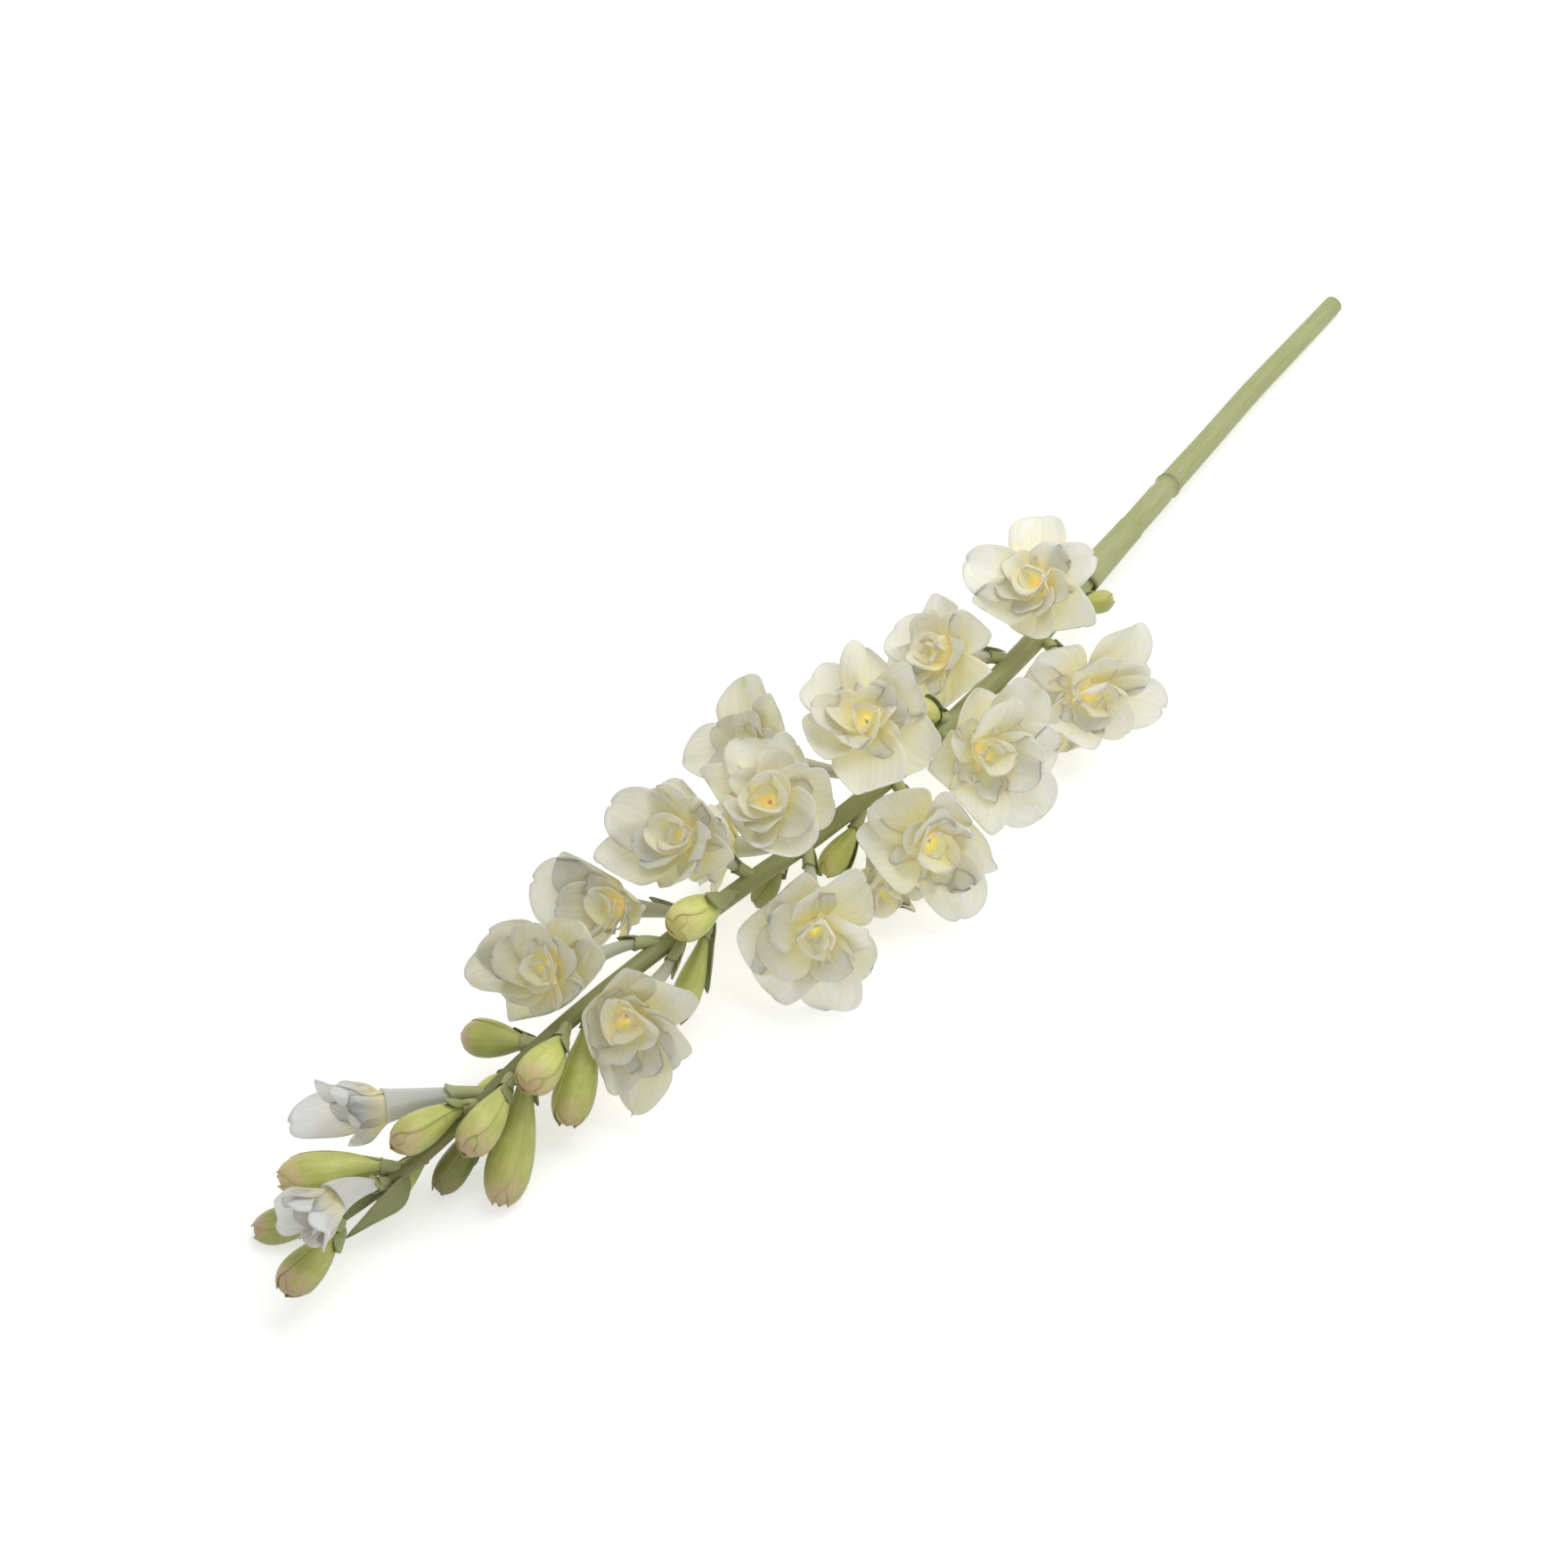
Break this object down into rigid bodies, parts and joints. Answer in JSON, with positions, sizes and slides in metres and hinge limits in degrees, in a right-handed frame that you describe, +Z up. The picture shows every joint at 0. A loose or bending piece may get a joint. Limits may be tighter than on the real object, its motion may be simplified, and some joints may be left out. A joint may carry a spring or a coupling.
{
  "type": "tuberose flower stem",
  "caption": "Cut tuberose stem lying on a surface, with a bare lower stem, open double blooms along one half and closed green buds at the tip.",
  "frame": {"origin": "centre of the bounding box on the surface that the flower lies on", "axes": "+X from the tip towards the cut end of the stem, +Y across it, +Z up from the surface"},
  "size_m": [0.7304, 0.1446, 0.0875],
  "materials": {
    "bloom_01_petal": "soft matte petal, cream white with a warmer throat",
    "bloom_02_petal": "soft matte petal, cream white with a warmer throat",
    "bloom_03_petal": "soft matte petal, cream white with a warmer throat",
    "bloom_04_petal": "soft matte petal, cream white with a warmer throat",
    "bloom_05_petal": "soft matte petal, cream white with a warmer throat",
    "bloom_06_petal": "soft matte petal, cream white with a warmer throat",
    "bloom_07_petal": "soft matte petal, cream white with a warmer throat",
    "bloom_08_petal": "soft matte petal, cream white with a warmer throat",
    "bloom_09_petal": "soft matte petal, cream white with a warmer throat",
    "bloom_10_petal": "soft matte petal, cream white with a warmer throat",
    "bloom_11_petal": "soft matte petal, cream white with a warmer throat",
    "bloom_12_petal": "soft matte petal, cream white with a warmer throat",
    "bloom_13_petal": "soft matte petal, cream white with a warmer throat",
    "bloom_14_petal": "soft matte petal, cream white with a warmer throat",
    "bloom_15_petal": "soft matte petal, cream white with a warmer throat",
    "bloom_16_petal": "soft matte petal, cream white with a warmer throat",
    "bloom_17_petal": "soft matte petal, cream white with a warmer throat",
    "bloom_18_petal": "soft matte petal, cream white with a warmer throat",
    "bud_01_skin": "smooth waxy bud skin, green with a tanned tip",
    "bud_02_skin": "smooth waxy bud skin, green with a tanned tip",
    "bud_03_skin": "smooth waxy bud skin, green with a tanned tip",
    "bud_04_skin": "smooth waxy bud skin, green with a tanned tip",
    "bud_05_skin": "smooth waxy bud skin, green with a tanned tip",
    "bud_06_skin": "smooth waxy bud skin, green with a tanned tip",
    "bud_07_skin": "smooth waxy bud skin, green with a tanned tip",
    "bud_08_skin": "smooth waxy bud skin, green with a tanned tip",
    "bud_09_skin": "smooth waxy bud skin, green with a tanned tip",
    "bud_10_skin": "smooth waxy bud skin, green with a tanned tip",
    "bud_11_skin": "smooth waxy bud skin, green with a tanned tip",
    "bud_12_skin": "smooth waxy bud skin, green with a tanned tip",
    "bud_13_skin": "smooth waxy bud skin, green with a tanned tip",
    "bud_14_skin": "smooth waxy bud skin, green with a tanned tip",
    "bud_15_skin": "smooth waxy bud skin, green with a tanned tip",
    "bud_16_skin": "smooth waxy bud skin, green with a tanned tip",
    "bud_17_skin": "smooth waxy bud skin, green with a tanned tip",
    "bud_18_skin": "smooth waxy bud skin, green with a tanned tip",
    "stem_skin": "smooth waxy green stem skin"
  },
  "bodies": {
    "root": {"bloom_01": "bloom_01_petal", "bloom_02": "bloom_02_petal", "bloom_03": "bloom_03_petal", "bloom_04": "bloom_04_petal", "bloom_05": "bloom_05_petal", "bloom_06": "bloom_06_petal", "bloom_07": "bloom_07_petal", "bloom_08": "bloom_08_petal", "bloom_09": "bloom_09_petal", "bloom_10": "bloom_10_petal", "bloom_11": "bloom_11_petal", "bloom_12": "bloom_12_petal", "bloom_13": "bloom_13_petal", "bloom_14": "bloom_14_petal", "bloom_15": "bloom_15_petal", "bloom_16": "bloom_16_petal", "bloom_17": "bloom_17_petal", "bloom_18": "bloom_18_petal", "bud_01": "bud_01_skin", "bud_02": "bud_02_skin", "bud_03": "bud_03_skin", "bud_04": "bud_04_skin", "bud_05": "bud_05_skin", "bud_06": "bud_06_skin", "bud_07": "bud_07_skin", "bud_08": "bud_08_skin", "bud_09": "bud_09_skin", "bud_10": "bud_10_skin", "bud_11": "bud_11_skin", "bud_12": "bud_12_skin", "bud_13": "bud_13_skin", "bud_14": "bud_14_skin", "bud_15": "bud_15_skin", "bud_16": "bud_16_skin", "bud_17": "bud_17_skin", "bud_18": "bud_18_skin", "stem": "stem_skin"}
  },
  "joints": []
}
